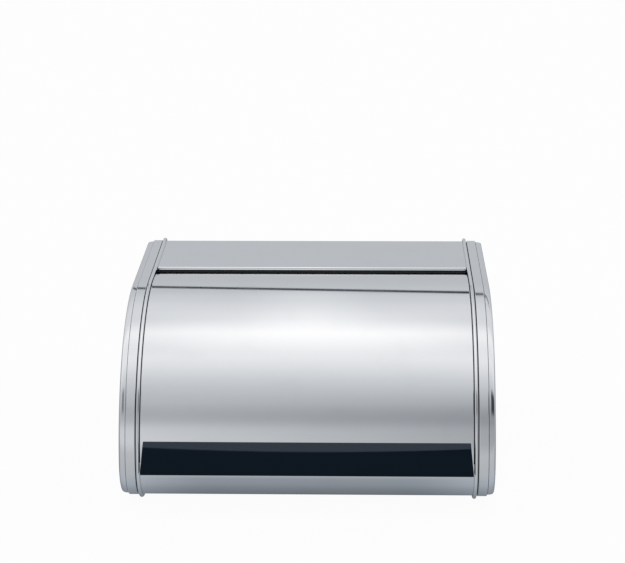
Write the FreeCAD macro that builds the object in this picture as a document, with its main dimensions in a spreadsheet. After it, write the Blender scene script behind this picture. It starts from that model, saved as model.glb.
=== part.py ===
import FreeCAD, Part
import math
import os
import Sketcher

# Bread box with a roll top. The lid is a rigid arc of sheet that turns about one axis and slides back
# under the flat deck. Every side profile is drawn around that axis, so each body sits on it.
# Frame: X to the right, Y to the back, Z up, origin on the ground under the middle. Millimetres.
# Angles of the lid and its track are elevations: 0 points to the front, 90 up, 180 to the back.

DRIVING_DIMENSIONS = [
    # the case profile, seen from the side, measured from the lid axis
    ("axis_forward", 4.1, "lid axis behind the middle of the box"),
    ("axis_up", 24.0, "lid axis above the ground"),
    ("arc_radius", 145.0, "front and top of the wide cap band"),
    ("back_distance", 138.8, "lid axis to the back of the wide cap band"),
    ("bottom_distance", 20.0, "lid axis down to the bottom of the wide cap band"),
    ("front_corner_radius", 37.5, "bottom front corner"),
    ("back_corner_radius", 5.0, "both back corners"),
    # the steps of the ends, as half widths from the middle and rises from the wide cap band
    ("bead_inner_half", 148.2, "inner face of the bead rim"),
    ("bead_width", 3.2, "bead rim along the width"),
    ("bead_rise", 2.5, "bead rim above the wide cap band"),
    ("bead_depth", 4.0, "bead rim below the wide cap band"),
    ("bead_round", 1.5, "rounding of the bead rim"),
    ("groove_width", 1.0, "groove outside the bead rim"),
    ("groove_drop", 1.5, "groove below the wide cap band"),
    ("wide_band_width", 8.5, "wide cap band"),
    ("outer_band_width", 6.2, "outer cap band, to the end of the box"),
    ("outer_band_drop", 1.3, "outer cap band below the wide cap band"),
    ("cap_edge_round", 2.6, "rounding from the outer band into the end face"),
    ("cap_wall", 0.8, "end cap sheet"),
    # sheet metal of the case
    ("sheet_thickness", 0.8, "deck, base, back and lid sheet"),
    ("sheet_drop", 0.5, "deck and base below the wide cap band"),
    ("strip_top", 11.7, "top of the base's front strip, above the lid axis"),
    ("deck_flange", 22.0, "deck's back flange"),
    ("back_panel_foot", 10.5, "lid axis down to the back panel's lower edge"),
    # deck front rail and wiper
    ("rail_distance", 47.3, "rail behind the lid axis"),
    ("rail_height", 143.4, "rail above the lid axis"),
    ("rail_radius", 1.7, "rail rod"),
    ("rail_end_gap", 0.4, "between the rail and the bead rim"),
    ("wiper_depth", 12.0, "wiper from front to back"),
    ("wiper_bottom", 139.6, "wiper's lower face above the lid axis"),
    ("wiper_tuck", 1.0, "wiper's front before the middle of the rail"),
    ("wiper_gap", 0.1, "between the wiper and the rail"),
    ("deck_gap", 0.05, "between the rail and the deck's front edge"),
    # plastic liners
    ("liner_thickness", 2.5, "liner plate"),
    ("liner_drop", 2.6, "liner plate below the wide cap band"),
    ("track_inner_radius", 135.5, "inside of the guide rib"),
    ("track_outer_radius", 137.0, "outside of the guide rib, where the shoes ride"),
    ("track_depth", 4.2, "guide rib out of the liner plate"),
    ("track_start", 10.0, "front end of the guide rib"),
    ("track_sweep", 148.5, "length of the guide rib"),
    ("boss_inner_half", 139.8, "inner end of the screw bosses"),
    ("boss_size", 14.0, "screw bosses across"),
    ("boss_gap", 0.2, "between the bosses and the bead rim"),
    # lid
    ("lid_rise", 1.6, "lid sheet above the wide cap band"),
    ("lid_half_width", 147.5, "lid sheet"),
    ("lid_start", 5.4, "lower edge of the lid sheet"),
    ("lid_sweep", 106.6, "lid sheet around its axis"),
    ("stiffener_depth", 7.4, "rear stiffener, below the lid sheet"),
    ("stiffener_sweep", 2.6, "rear stiffener around the axis"),
    ("stiffener_step", 0.5, "stiffener deeper than the runners"),
    ("stiffener_gap", 0.2, "between the stiffener and the runners"),
    ("runner_inner_half", 140.3, "inner side of the edge runners"),
    ("runner_step_half", 147.2, "step of the edge runners under the bead rim"),
    ("runner_outer_half", 150.9, "outer side of the edge runners"),
    ("runner_tongue", 1.5, "thickness of the runner's tongue under the bead rim"),
    ("runner_start", 13.0, "front end of the edge runners"),
    ("runner_sweep", 98.4, "edge runners around the axis"),
    ("shoe_inner_radius", 137.3, "guide shoes, clear of the track"),
    ("shoe_inner_half", 147.5, "inner side of the guide shoes"),
    ("shoe_sweep", 10.0, "guide shoe around the axis"),
    ("front_shoe_start", 15.0, "front guide shoe"),
    ("rear_shoe_start", 101.0, "rear guide shoe"),
    # stops of the lid
    ("stop_inner_half", 147.5, "inner side of the stop blocks"),
    ("closed_stop_start", 10.6, "closed stop"),
    ("closed_stop_sweep", 2.2, "closed stop around the axis"),
    ("open_stop_start", 155.3, "open stop"),
    ("open_stop_sweep", 2.0, "open stop around the axis"),
    ("open_stop_radius", 138.4, "open stop, outer side"),
    # handle
    ("handle_start", 5.3, "lower edge of the handle"),
    ("handle_sweep", 11.6, "handle around the axis"),
    ("handle_gap", 0.1, "between the lid sheet and the handle"),
    ("handle_rise", 5.2, "handle above the wide cap band"),
    ("handle_ledge", 6.6, "finger ledge along the handle's face"),
    ("handle_ledge_drop", 3.3, "finger ledge across the handle's top"),
    ("handle_bottom_half", 149.2, "half width of the handle ends' slant at the height of the lid axis"),
    ("handle_top_half", 144.8, "half width of that slant at its upper reference height"),
    ("handle_slant_height", 43.5, "that upper reference height above the lid axis"),
    # feet and fasteners
    ("foot_radius", 8.0, "rubber foot"),
    ("foot_stem_radius", 2.3, "foot's stem"),
    ("foot_hole_radius", 2.5, "hole for the stem"),
    ("foot_stem_length", 3.4, "stem above the foot's shoulder"),
    ("foot_half_spacing", 126.0, "feet from the middle to the side"),
    ("foot_front", 84.0, "front feet before the lid axis"),
    ("foot_back", 114.0, "back feet behind the lid axis"),
    ("screw_half_spacing", 143.3, "case screws from the middle to the side"),
    ("screw_head_radius", 2.9, "case screw head"),
    ("screw_head_height", 1.6, "case screw head"),
    ("screw_head_round", 1.1, "rounding of the screw head"),
    ("screw_shank_radius", 1.2, "case screw shank"),
    ("screw_shank_length", 9.0, "case screw shank"),
    ("screw_hole_radius", 1.3, "hole for a case screw"),
    ("top_screw_height", 128.0, "upper back screws above the lid axis"),
    ("low_screw_depth", 2.0, "lower back screws below the lid axis"),
    ("base_screw_distance", 70.0, "base screws before and behind the lid axis"),
    ("handle_screw_spacing", 60.0, "between the handle screws"),
    ("handle_screw_height", 25.9, "handle screws above the lid axis"),
    ("handle_screw_seat", 142.85, "lid axis to the seat of the handle screw heads"),
    ("handle_screw_length", 3.8, "handle screw shank"),
]

SIDES = {"left": -1, "right": 1}
HANDLE_SCREW_COUNT = 5
RIGHT_ANGLE = 90.0
STRAIGHT_ANGLE = 180.0
DOWNWARD_ANGLE = 270.0
FULL_TURN = 360.0
# how a sketch numbers the points of its lines and arcs
FIRST_POINT, LAST_POINT, MIDDLE_POINT = 1, 2, 3
ORIGIN_POINT = (-1, 1)
SMALLEST_CUT = 0.5
EDGE_TEST_POINTS = 5
EDGE_TOLERANCE = 0.01
PLANE_NORMALS = {
    "XY_Plane": FreeCAD.Vector(0, 0, 1),
    "XZ_Plane": FreeCAD.Vector(0, -1, 0),
    "YZ_Plane": FreeCAD.Vector(1, 0, 0),
}

document = FreeCAD.newDocument("roll_top_bread_box")


class Size:
    """A size known both as a number and as the spreadsheet formula that it comes from."""

    def __init__(self, number, formula):
        self.number = number
        self.formula = formula

    def __add__(self, other):
        other = as_size(other)
        return Size(self.number + other.number, f"({self.formula} + {other.formula})")

    def __sub__(self, other):
        other = as_size(other)
        return Size(self.number - other.number, f"({self.formula} - {other.formula})")

    def __mul__(self, other):
        other = as_size(other)
        return Size(self.number * other.number, f"({self.formula} * {other.formula})")

    def __neg__(self):
        return Size(-self.number, f"(-1 * {self.formula})")


def as_size(value):
    """A plain number as a Size, or the Size itself."""
    if isinstance(value, Size):
        return value
    return Size(float(value), f"({value})")


def make_sheet():
    """The spreadsheet of driving dimensions, and a Size for each of its cells."""
    sheet = document.addObject("Spreadsheet::Sheet", "Sizes")
    cells = {}
    for row, (alias, value, note) in enumerate(DRIVING_DIMENSIONS, 1):
        sheet.set(f"A{row}", alias)
        sheet.set(f"B{row}", str(value))
        sheet.setAlias(f"B{row}", alias)
        sheet.set(f"C{row}", note)
        cells[alias] = Size(value, f"Sizes.{alias}")
    document.recompute()
    return cells


size = make_sheet()

# sizes worked out from the driving ones
BEAD_OUTER_HALF = size["bead_inner_half"] + size["bead_width"]
CAP_OUTER_HALF = BEAD_OUTER_HALF + size["groove_width"] + size["wide_band_width"] + size["outer_band_width"]
LID_OUTER_RADIUS = size["arc_radius"] + size["lid_rise"]
LID_INNER_RADIUS = LID_OUTER_RADIUS - size["sheet_thickness"]
RUNNER_INNER_RADIUS = LID_INNER_RADIUS - size["stiffener_depth"] + size["stiffener_step"]
RUNNER_TONGUE_RADIUS = RUNNER_INNER_RADIUS + size["runner_tongue"]
SHEET_OUTSIDE = -size["sheet_drop"]
SHEET_INSIDE = SHEET_OUTSIDE - size["sheet_thickness"]
DECK_UNDERSIDE = size["arc_radius"] + SHEET_INSIDE
BASE_BOTTOM = -size["bottom_distance"] - SHEET_OUTSIDE
BACK_PANEL_OUTSIDE = size["back_distance"] + SHEET_INSIDE
BACK_PANEL_INSIDE = BACK_PANEL_OUTSIDE - size["sheet_thickness"]
BACK_PANEL_TOP = DECK_UNDERSIDE - size["back_corner_radius"]
BEAD_INNER_BACK = size["back_distance"] - size["bead_depth"]
BEAD_INNER_BOTTOM = -size["bottom_distance"] + size["bead_depth"]


# ---------------------------------------------------------------- sketches and features

def new_body(label):
    """A PartDesign body whose origin is on the lid axis."""
    body = document.addObject("PartDesign::Body", label)
    body.Label = label
    body.setExpression("Placement.Base.y", size["axis_forward"].formula)
    body.setExpression("Placement.Base.z", size["axis_up"].formula)
    return body


def new_sketch(body, plane_role, distance):
    """A sketch in the body, on one of its origin planes moved along its normal by a distance."""
    sketch = body.newObject("Sketcher::SketchObject", "Sketch")
    plane = next(item for item in body.Origin.OriginFeatures if item.Role == plane_role)
    sketch.AttachmentSupport = [(plane, "")]
    sketch.MapMode = "FlatFace"
    sketch.setExpression("AttachmentOffset.Base.z", as_size(distance).formula)
    return sketch


def constrain(sketch, kind, *arguments):
    """Add a constraint; where the last argument is a Size, the constraint follows the sheet."""
    target = arguments[-1]
    if not isinstance(target, Size):
        sketch.addConstraint(Sketcher.Constraint(kind, *arguments))
        return
    number = math.radians(target.number) if kind == "Angle" else target.number
    index = sketch.addConstraint(Sketcher.Constraint(kind, *arguments[:-1], number))
    sketch.setExpression(f"Constraints[{index}]", target.formula)


def point_at(radius, degrees):
    """The point at a radius and a mathematical angle in the sketch plane."""
    angle = math.radians(degrees)
    return FreeCAD.Vector(radius * math.cos(angle), radius * math.sin(angle), 0)


def add_arc(sketch, centre, radius, start_degrees, end_degrees):
    """Add an anticlockwise arc to a sketch and return its number."""
    circle = Part.Circle(centre, FreeCAD.Vector(0, 0, 1), radius)
    start = math.radians(start_degrees)
    end = math.radians(end_degrees)
    return sketch.addGeometry(Part.ArcOfCircle(circle, start, end))


def draw_case_profile(sketch, rise):
    """The closed side profile of the case, grown outward from the wide cap band by the rise.

    A flat top runs from the lid axis to the back, the main arc runs from there down the front, and
    smaller arcs round the bottom front corner and the two back corners.
    """
    main_radius = size["arc_radius"] + rise
    front_radius = size["front_corner_radius"] + rise
    back_radius = size["back_corner_radius"] + rise
    bottom = size["bottom_distance"] + rise
    back = size["back_distance"] + rise
    reach = main_radius.number - front_radius.number
    front_height = front_radius.number - bottom.number
    tangent_degrees = STRAIGHT_ANGLE - math.degrees(math.asin(front_height / reach))
    front_centre = point_at(reach, tangent_degrees)
    round_back = back.number - back_radius.number
    top_centre = FreeCAD.Vector(round_back, main_radius.number - back_radius.number, 0)
    low_centre = FreeCAD.Vector(round_back, back_radius.number - bottom.number, 0)
    origin = FreeCAD.Vector(0, 0, 0)

    main = add_arc(sketch, origin, main_radius.number, RIGHT_ANGLE, tangent_degrees)
    front = add_arc(sketch, front_centre, front_radius.number, tangent_degrees, DOWNWARD_ANGLE)
    low_back = add_arc(sketch, low_centre, back_radius.number, DOWNWARD_ANGLE, FULL_TURN)
    top_back = add_arc(sketch, top_centre, back_radius.number, 0.0, RIGHT_ANGLE)
    arcs = sketch.Geometry
    floor = sketch.addGeometry(Part.LineSegment(arcs[front].EndPoint, arcs[low_back].StartPoint))
    rear = sketch.addGeometry(Part.LineSegment(arcs[low_back].EndPoint, arcs[top_back].StartPoint))
    top = sketch.addGeometry(Part.LineSegment(arcs[top_back].EndPoint, arcs[main].StartPoint))
    first, last, middle = FIRST_POINT, LAST_POINT, MIDDLE_POINT
    for one, one_end, other, other_end in (
        (main, last, front, first),
        (front, last, floor, first),
        (floor, last, low_back, first),
        (low_back, last, rear, first),
        (rear, last, top_back, first),
        (top_back, last, top, first),
        (top, last, main, first),
    ):
        constrain(sketch, "Tangent", one, one_end, other, other_end)
    constrain(sketch, "Horizontal", floor)
    constrain(sketch, "Vertical", rear)
    constrain(sketch, "Horizontal", top)
    constrain(sketch, "Coincident", main, middle, *ORIGIN_POINT)
    constrain(sketch, "Radius", main, main_radius)
    constrain(sketch, "Radius", front, front_radius)
    constrain(sketch, "Radius", low_back, back_radius)
    constrain(sketch, "Radius", top_back, back_radius)
    constrain(sketch, "DistanceY", floor, first, *ORIGIN_POINT, bottom)
    constrain(sketch, "DistanceX", *ORIGIN_POINT, rear, first, back)


def draw_sector(sketch, inner_radius, outer_radius, start, sweep):
    """A ring sector around the lid axis, from an elevation through a sweep towards the back."""
    low_angle = Size(STRAIGHT_ANGLE, "180") - start - sweep
    high_angle = Size(STRAIGHT_ANGLE, "180") - start
    origin = FreeCAD.Vector(0, 0, 0)
    outer = add_arc(sketch, origin, outer_radius.number, low_angle.number, high_angle.number)
    inner = add_arc(sketch, origin, inner_radius.number, low_angle.number, high_angle.number)
    first, last, middle = FIRST_POINT, LAST_POINT, MIDDLE_POINT
    constrain(sketch, "Coincident", outer, middle, *ORIGIN_POINT)
    constrain(sketch, "Coincident", inner, middle, *ORIGIN_POINT)
    constrain(sketch, "Radius", outer, outer_radius)
    constrain(sketch, "Radius", inner, inner_radius)
    for angle, arc_end in ((low_angle, first), (high_angle, last)):
        inner_point = point_at(inner_radius.number, angle.number)
        outer_point = point_at(outer_radius.number, angle.number)
        side = sketch.addGeometry(Part.LineSegment(inner_point, outer_point))
        constrain(sketch, "Coincident", side, first, inner, arc_end)
        constrain(sketch, "Coincident", side, last, outer, arc_end)
        constrain(sketch, "PointOnObject", *ORIGIN_POINT, side)
        constrain(sketch, "Angle", side, angle)


def draw_polygon(sketch, corners):
    """A closed polygon whose corners are pairs of Sizes."""
    points = [FreeCAD.Vector(across.number, up.number, 0) for across, up in corners]
    for number, point in enumerate(points):
        sketch.addGeometry(Part.LineSegment(point, points[(number + 1) % len(points)]))
    for number, (across, up) in enumerate(corners):
        previous = number - 1 if number else len(corners) - 1
        constrain(sketch, "Coincident", previous, LAST_POINT, number, FIRST_POINT)
        constrain(sketch, "DistanceX", *ORIGIN_POINT, number, FIRST_POINT, across)
        constrain(sketch, "DistanceY", *ORIGIN_POINT, number, FIRST_POINT, up)


def draw_rectangle(sketch, low_corner, high_corner):
    """An upright rectangle between two corners, each a pair of Sizes."""
    low_across, low_up = (as_size(value) for value in low_corner)
    high_across, high_up = (as_size(value) for value in high_corner)
    corners = [(low_across, low_up), (high_across, low_up), (high_across, high_up), (low_across, high_up)]
    draw_polygon(sketch, corners)


def draw_circles(sketch, centres, radius):
    """Circles of one radius around centres that are pairs of Sizes."""
    for across, up in centres:
        across, up = as_size(across), as_size(up)
        centre = FreeCAD.Vector(across.number, up.number, 0)
        circle = sketch.addGeometry(Part.Circle(centre, FreeCAD.Vector(0, 0, 1), radius.number))
        constrain(sketch, "Radius", circle, radius)
        constrain(sketch, "DistanceX", *ORIGIN_POINT, circle, MIDDLE_POINT, across)
        constrain(sketch, "DistanceY", *ORIGIN_POINT, circle, MIDDLE_POINT, up)


def pad(body, sketch, length, backwards=False, both_ways=False):
    """Extrude a sketch along its normal, against it, or half each way."""
    feature = body.newObject("PartDesign::Pad", "Pad")
    feature.Profile = sketch
    feature.Reversed = backwards
    feature.SideType = "Symmetric" if both_ways else "One side"
    feature.setExpression("Length", as_size(length).formula)
    return feature


def pocket(body, sketch, length, along_normal=False, both_ways=False):
    """Cut a sketch out of the body, and make sure that something was cut."""
    document.recompute()
    volume_before = body.Shape.Volume
    feature = body.newObject("PartDesign::Pocket", "Pocket")
    feature.Profile = sketch
    feature.Reversed = along_normal
    feature.SideType = "Symmetric" if both_ways else "One side"
    feature.setExpression("Length", as_size(length).formula)
    document.recompute()
    if volume_before - body.Shape.Volume < SMALLEST_CUT:
        raise RuntimeError(f"{body.Label}: a pocket cut nothing")
    return feature


def edge_names(feature, chosen):
    """The names of the feature's edges that a test of the edge accepts."""
    edges = feature.Shape.Edges
    return [f"Edge{number}" for number, edge in enumerate(edges, 1) if chosen(edge)]


def fillet(body, base, chosen, radius):
    """Round the chosen edges of a body's last feature."""
    document.recompute()
    feature = body.newObject("PartDesign::Fillet", "Fillet")
    feature.Base = (base, edge_names(base, chosen))
    feature.setExpression("Radius", radius.formula)
    return feature


def outward(side, distance):
    """A distance from the middle towards one side, as a signed Size."""
    return distance if side > 0 else -distance


def side_sketch(body, side, half_distance):
    """A sketch of the side profile at a distance from the middle, on the left or the right."""
    return new_sketch(body, "YZ_Plane", outward(side, half_distance))


def pad_outward(body, sketch, side, length):
    """Extrude a side sketch away from the middle."""
    return pad(body, sketch, length, backwards=side < 0)


def pad_inward(body, sketch, side, length):
    """Extrude a side sketch towards the middle."""
    return pad(body, sketch, length, backwards=side > 0)


def sector_body(label, side, inner_half, outer_half, radii, start, sweep):
    """A body that is one ring sector, on the left or the right."""
    body = new_body(label)
    sketch = side_sketch(body, side, inner_half)
    draw_sector(sketch, radii[0], radii[1], start, sweep)
    pad_outward(body, sketch, side, outer_half - inner_half)
    return body


def full_width_sector(label, half_width, inner_radius, outer_radius, start, sweep):
    """A body that is one ring sector across the whole width, and its last feature."""
    body = new_body(label)
    sketch = new_sketch(body, "YZ_Plane", 0)
    draw_sector(sketch, inner_radius, outer_radius, start, sweep)
    feature = pad(body, sketch, half_width * 2, both_ways=True)
    return body, feature


# ---------------------------------------------------------------- ends of the case

def lies_at(distance, plane_role="YZ_Plane"):
    """A test for edges that lie in a plane, at a signed distance along the plane's normal."""
    normal = PLANE_NORMALS[plane_role]

    def test(edge):
        points = edge.discretize(EDGE_TEST_POINTS)
        return all(abs(point.dot(normal) - distance) < EDGE_TOLERANCE for point in points)

    return test


def end_cap(name, side):
    """Stepped steel shell: groove, wide band, lower outer band and a rounded end face."""
    body = new_body(f"{name}_end_cap")
    start = BEAD_OUTER_HALF
    for width, drop in (
        (size["groove_width"], size["groove_drop"]),
        (size["wide_band_width"], as_size(0.0)),
        (size["outer_band_width"], size["outer_band_drop"]),
    ):
        sketch = side_sketch(body, side, start)
        draw_case_profile(sketch, -drop)
        pad_outward(body, sketch, side, width)
        start = start + width
    hollow = side_sketch(body, side, BEAD_OUTER_HALF)
    draw_case_profile(hollow, -size["outer_band_drop"] - size["cap_wall"])
    depth = CAP_OUTER_HALF - BEAD_OUTER_HALF - size["cap_wall"]
    shell = pocket(body, hollow, depth, along_normal=side > 0)
    inner_face = side * (CAP_OUTER_HALF - size["cap_wall"]).number
    rounded = fillet(body, shell, lies_at(inner_face), size["cap_edge_round"] - size["cap_wall"])
    fillet(body, rounded, lies_at(side * CAP_OUTER_HALF.number), size["cap_edge_round"])
    return body


def bead_rim(name, side):
    """Rounded rim that stands proud of the deck, the lid and the base all the way round."""
    body = new_body(f"{name}_bead_rim")
    sketch = side_sketch(body, side, size["bead_inner_half"])
    draw_case_profile(sketch, size["bead_rise"])
    solid = pad_outward(body, sketch, side, size["bead_width"])
    for half_distance in (size["bead_inner_half"], BEAD_OUTER_HALF):
        solid = fillet(body, solid, lies_at(side * half_distance.number), size["bead_round"])
    middle = side_sketch(body, side, size["bead_inner_half"])
    draw_case_profile(middle, -size["bead_depth"])
    pocket(body, middle, size["bead_width"], along_normal=side > 0)
    return body


def boss_corners():
    """The four screw bosses of a liner: low and high corner towards the back and up."""
    boss = size["boss_size"]
    half = boss * 0.5
    height = BACK_PANEL_TOP
    deep = BACK_PANEL_INSIDE - boss
    base_inside = BASE_BOTTOM + size["sheet_thickness"]
    corners = [
        ((deep, height - boss), (BACK_PANEL_INSIDE, height)),
        ((deep, -size["low_screw_depth"] - half), (BACK_PANEL_INSIDE, half - size["low_screw_depth"])),
    ]
    for direction in (-1, 1):
        centre = size["base_screw_distance"] * direction
        corners.append(((centre - half, base_inside), (centre + half, base_inside + boss)))
    return corners


def side_liner(name, side):
    """Plastic plate with the guide rib for the lid and four screw bosses."""
    body = new_body(f"{name}_side_liner")
    plate = side_sketch(body, side, BEAD_OUTER_HALF)
    draw_case_profile(plate, -size["liner_drop"])
    pad_outward(body, plate, side, size["liner_thickness"])
    rib = side_sketch(body, side, BEAD_OUTER_HALF)
    radii = (size["track_inner_radius"], size["track_outer_radius"])
    draw_sector(rib, *radii, size["track_start"], size["track_sweep"])
    pad_inward(body, rib, side, size["track_depth"])
    # an arm inside the bead rim joins each boss to the plate
    gap = size["boss_gap"]
    arm_back = BEAD_INNER_BACK - gap
    arm_bottom = BEAD_INNER_BOTTOM + gap
    for number, (low, high) in enumerate(boss_corners()):
        at_back = number < 2
        arm = side_sketch(body, side, BEAD_OUTER_HALF)
        arm_low = low if at_back else (low[0], arm_bottom)
        arm_high = (arm_back, high[1]) if at_back else high
        draw_rectangle(arm, arm_low, arm_high)
        pad_inward(body, arm, side, BEAD_OUTER_HALF - size["boss_inner_half"])
        block = side_sketch(body, side, size["bead_inner_half"] - gap)
        draw_rectangle(block, low, high)
        pad_inward(body, block, side, size["bead_inner_half"] - gap - size["boss_inner_half"])
    # pilot holes of the back and base screws
    across = outward(side, size["screw_half_spacing"])
    back_holes = new_sketch(body, "XZ_Plane", -BACK_PANEL_INSIDE)
    heights = (size["top_screw_height"], -size["low_screw_depth"])
    draw_circles(back_holes, [(across, height) for height in heights], size["screw_shank_radius"])
    pocket(body, back_holes, size["screw_shank_length"], along_normal=True)
    base_holes = new_sketch(body, "XY_Plane", BASE_BOTTOM)
    places = (-size["base_screw_distance"], size["base_screw_distance"])
    draw_circles(base_holes, [(across, place) for place in places], size["screw_shank_radius"])
    pocket(body, base_holes, size["screw_shank_length"], along_normal=True)
    return body


# ---------------------------------------------------------------- sheet metal of the case

def wrapped_sheet(label):
    """A closed band of sheet that follows the case profile across the whole width."""
    body = new_body(label)
    outside = new_sketch(body, "YZ_Plane", 0)
    draw_case_profile(outside, SHEET_OUTSIDE)
    pad(body, outside, size["bead_inner_half"] * 2, both_ways=True)
    inside = new_sketch(body, "YZ_Plane", 0)
    draw_case_profile(inside, SHEET_INSIDE)
    pocket(body, inside, size["bead_inner_half"] * 2, both_ways=True)
    return body


def cut_away(body, low_corner, high_corner):
    """Remove a box across the whole width, given by its corners in the side view."""
    sketch = new_sketch(body, "YZ_Plane", 0)
    draw_rectangle(sketch, low_corner, high_corner)
    pocket(body, sketch, CAP_OUTER_HALF * 2, both_ways=True)


def top_deck():
    """Flat deck behind the rail, bent down at the back into a flange with two screw holes."""
    body = wrapped_sheet("top_deck")
    far = size["arc_radius"] * 2
    front_edge = size["rail_distance"] + size["rail_radius"] + size["deck_gap"]
    flange_end = size["arc_radius"] - size["deck_flange"]
    cut_away(body, (-far, -far), (front_edge, far))
    cut_away(body, (as_size(0.0), -far), (far, flange_end))
    screw_holes(body, size["top_screw_height"])
    return body


def screw_holes(body, height):
    """Two holes for case screws through a back flange or panel."""
    sketch = new_sketch(body, "XZ_Plane", -size["back_distance"])
    across = size["screw_half_spacing"]
    draw_circles(sketch, [(-across, height), (across, height)], size["screw_hole_radius"])
    pocket(body, sketch, size["boss_size"], along_normal=True)


def foot_places():
    """Centres of the four feet by name."""
    across = size["foot_half_spacing"]
    return {
        "front_left": (-across, -size["foot_front"]),
        "front_right": (across, -size["foot_front"]),
        "rear_left": (-across, size["foot_back"]),
        "rear_right": (across, size["foot_back"]),
    }


def base_tray():
    """Floor of the box with the curved front strip, a back flange, and foot and screw holes."""
    body = wrapped_sheet("base_tray")
    far = size["arc_radius"] * 2
    cut_away(body, (-far, size["strip_top"]), (far, far))
    screw_holes(body, -size["low_screw_depth"])
    feet = new_sketch(body, "XY_Plane", -size["bottom_distance"])
    draw_circles(feet, list(foot_places().values()), size["foot_hole_radius"])
    pocket(body, feet, size["boss_size"], along_normal=True)
    screws = new_sketch(body, "XY_Plane", -size["bottom_distance"])
    draw_circles(screws, base_screw_places(), size["screw_hole_radius"])
    pocket(body, screws, size["boss_size"], along_normal=True)
    return body


def back_panel():
    """Flat panel inside the flanges of the deck and the base."""
    body = new_body("back_panel")
    sketch = new_sketch(body, "YZ_Plane", 0)
    low_corner = (BACK_PANEL_INSIDE, -size["back_panel_foot"])
    draw_rectangle(sketch, low_corner, (BACK_PANEL_OUTSIDE, BACK_PANEL_TOP))
    pad(body, sketch, size["bead_inner_half"] * 2, both_ways=True)
    screw_holes(body, size["top_screw_height"])
    screw_holes(body, -size["low_screw_depth"])
    return body


def deck_front_rail():
    """Polished rod along the deck's front edge, a little short of the bead rims."""
    body = new_body("deck_front_rail")
    sketch = new_sketch(body, "YZ_Plane", 0)
    draw_circles(sketch, [(size["rail_distance"], size["rail_height"])], size["rail_radius"])
    pad(body, sketch, (size["bead_inner_half"] - size["rail_end_gap"]) * 2, both_ways=True)
    return body


def lid_wiper():
    """Dark strip under the rail and the deck's front edge, close above the lid."""
    body = new_body("lid_wiper")
    sketch = new_sketch(body, "YZ_Plane", 0)
    front = size["rail_distance"] - size["wiper_tuck"]
    behind_rail = size["rail_distance"] + size["rail_radius"] + size["wiper_gap"]
    under_rail = size["rail_height"] - size["rail_radius"] - size["wiper_gap"]
    back = front + size["wiper_depth"]
    bottom = size["wiper_bottom"]
    corners = [(front, bottom), (back, bottom), (back, DECK_UNDERSIDE), (behind_rail, DECK_UNDERSIDE)]
    corners += [(behind_rail, under_rail), (front, under_rail)]
    draw_polygon(sketch, corners)
    pad(body, sketch, size["bead_inner_half"] * 2, both_ways=True)
    return body


# ---------------------------------------------------------------- feet, stops and screws

def rubber_foot(name, place):
    """Round rubber foot with a stem through the base."""
    body = new_body(f"foot_{name}")
    shoulder = BASE_BOTTOM
    disc = new_sketch(body, "XY_Plane", -size["axis_up"])
    draw_circles(disc, [place], size["foot_radius"])
    pad(body, disc, size["axis_up"] + shoulder)
    stem = new_sketch(body, "XY_Plane", shoulder)
    draw_circles(stem, [place], size["foot_stem_radius"])
    pad(body, stem, size["foot_stem_length"])
    return body


def lid_stops(name, side):
    """Rubber blocks that end the lid's travel, closed and open."""
    stop_outer = BEAD_OUTER_HALF
    shared = (side, size["stop_inner_half"], stop_outer)
    closed_radii = (size["track_outer_radius"], RUNNER_TONGUE_RADIUS)
    open_radii = (size["track_outer_radius"], size["open_stop_radius"])
    closed_arc = (size["closed_stop_start"], size["closed_stop_sweep"])
    open_arc = (size["open_stop_start"], size["open_stop_sweep"])
    return [
        sector_body(f"{name}_closed_stop", *shared, closed_radii, *closed_arc),
        sector_body(f"{name}_open_stop", *shared, open_radii, *open_arc),
    ]


def base_screw_places():
    """Centres of the four base screws."""
    across = size["screw_half_spacing"]
    distance = size["base_screw_distance"]
    return [(-across, -distance), (across, -distance), (-across, distance), (across, distance)]


def pan_screws(label, plane_role, surface, shank_length, places):
    """A group of pan-head screws: shanks along the plane's normal, heads behind the surface."""
    screws = []
    for place in places:
        body = new_body(f"{label}_screw")
        head = new_sketch(body, plane_role, surface)
        draw_circles(head, [place], size["screw_head_radius"])
        solid = pad(body, head, size["screw_head_height"], backwards=True)
        head_top = surface.number - size["screw_head_height"].number
        fillet(body, solid, lies_at(head_top, plane_role), size["screw_head_round"])
        shank = new_sketch(body, plane_role, surface)
        draw_circles(shank, [place], size["screw_shank_radius"])
        pad(body, shank, shank_length)
        screws.append(body)
    group = document.addObject("Part::Compound", label)
    group.Label = label
    group.Links = screws
    return group


def back_screws():
    """Screws through the deck and base flanges and the back panel into the liners."""
    across = size["screw_half_spacing"]
    heights = (size["top_screw_height"], -size["low_screw_depth"])
    places = [(across * side, height) for side in SIDES.values() for height in heights]
    surface = -size["back_distance"] - SHEET_OUTSIDE
    return pan_screws("back_screws", "XZ_Plane", surface, size["screw_shank_length"], places)


def base_screws():
    """Screws through the floor of the base into the liners."""
    places = base_screw_places()
    return pan_screws("base_screws", "XY_Plane", BASE_BOTTOM, size["screw_shank_length"], places)


# ---------------------------------------------------------------- lid

def lid_sheet():
    """The arc of sheet that covers the front and slides under the deck."""
    radii = (LID_INNER_RADIUS, LID_OUTER_RADIUS)
    arc = (size["lid_start"], size["lid_sweep"])
    body, _ = full_width_sector("lid_sheet", size["lid_half_width"], *radii, *arc)
    holes = new_sketch(body, "XZ_Plane", 0)
    draw_circles(holes, handle_screw_places(), size["screw_hole_radius"])
    pocket(body, holes, size["arc_radius"], along_normal=True)
    return body


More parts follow.
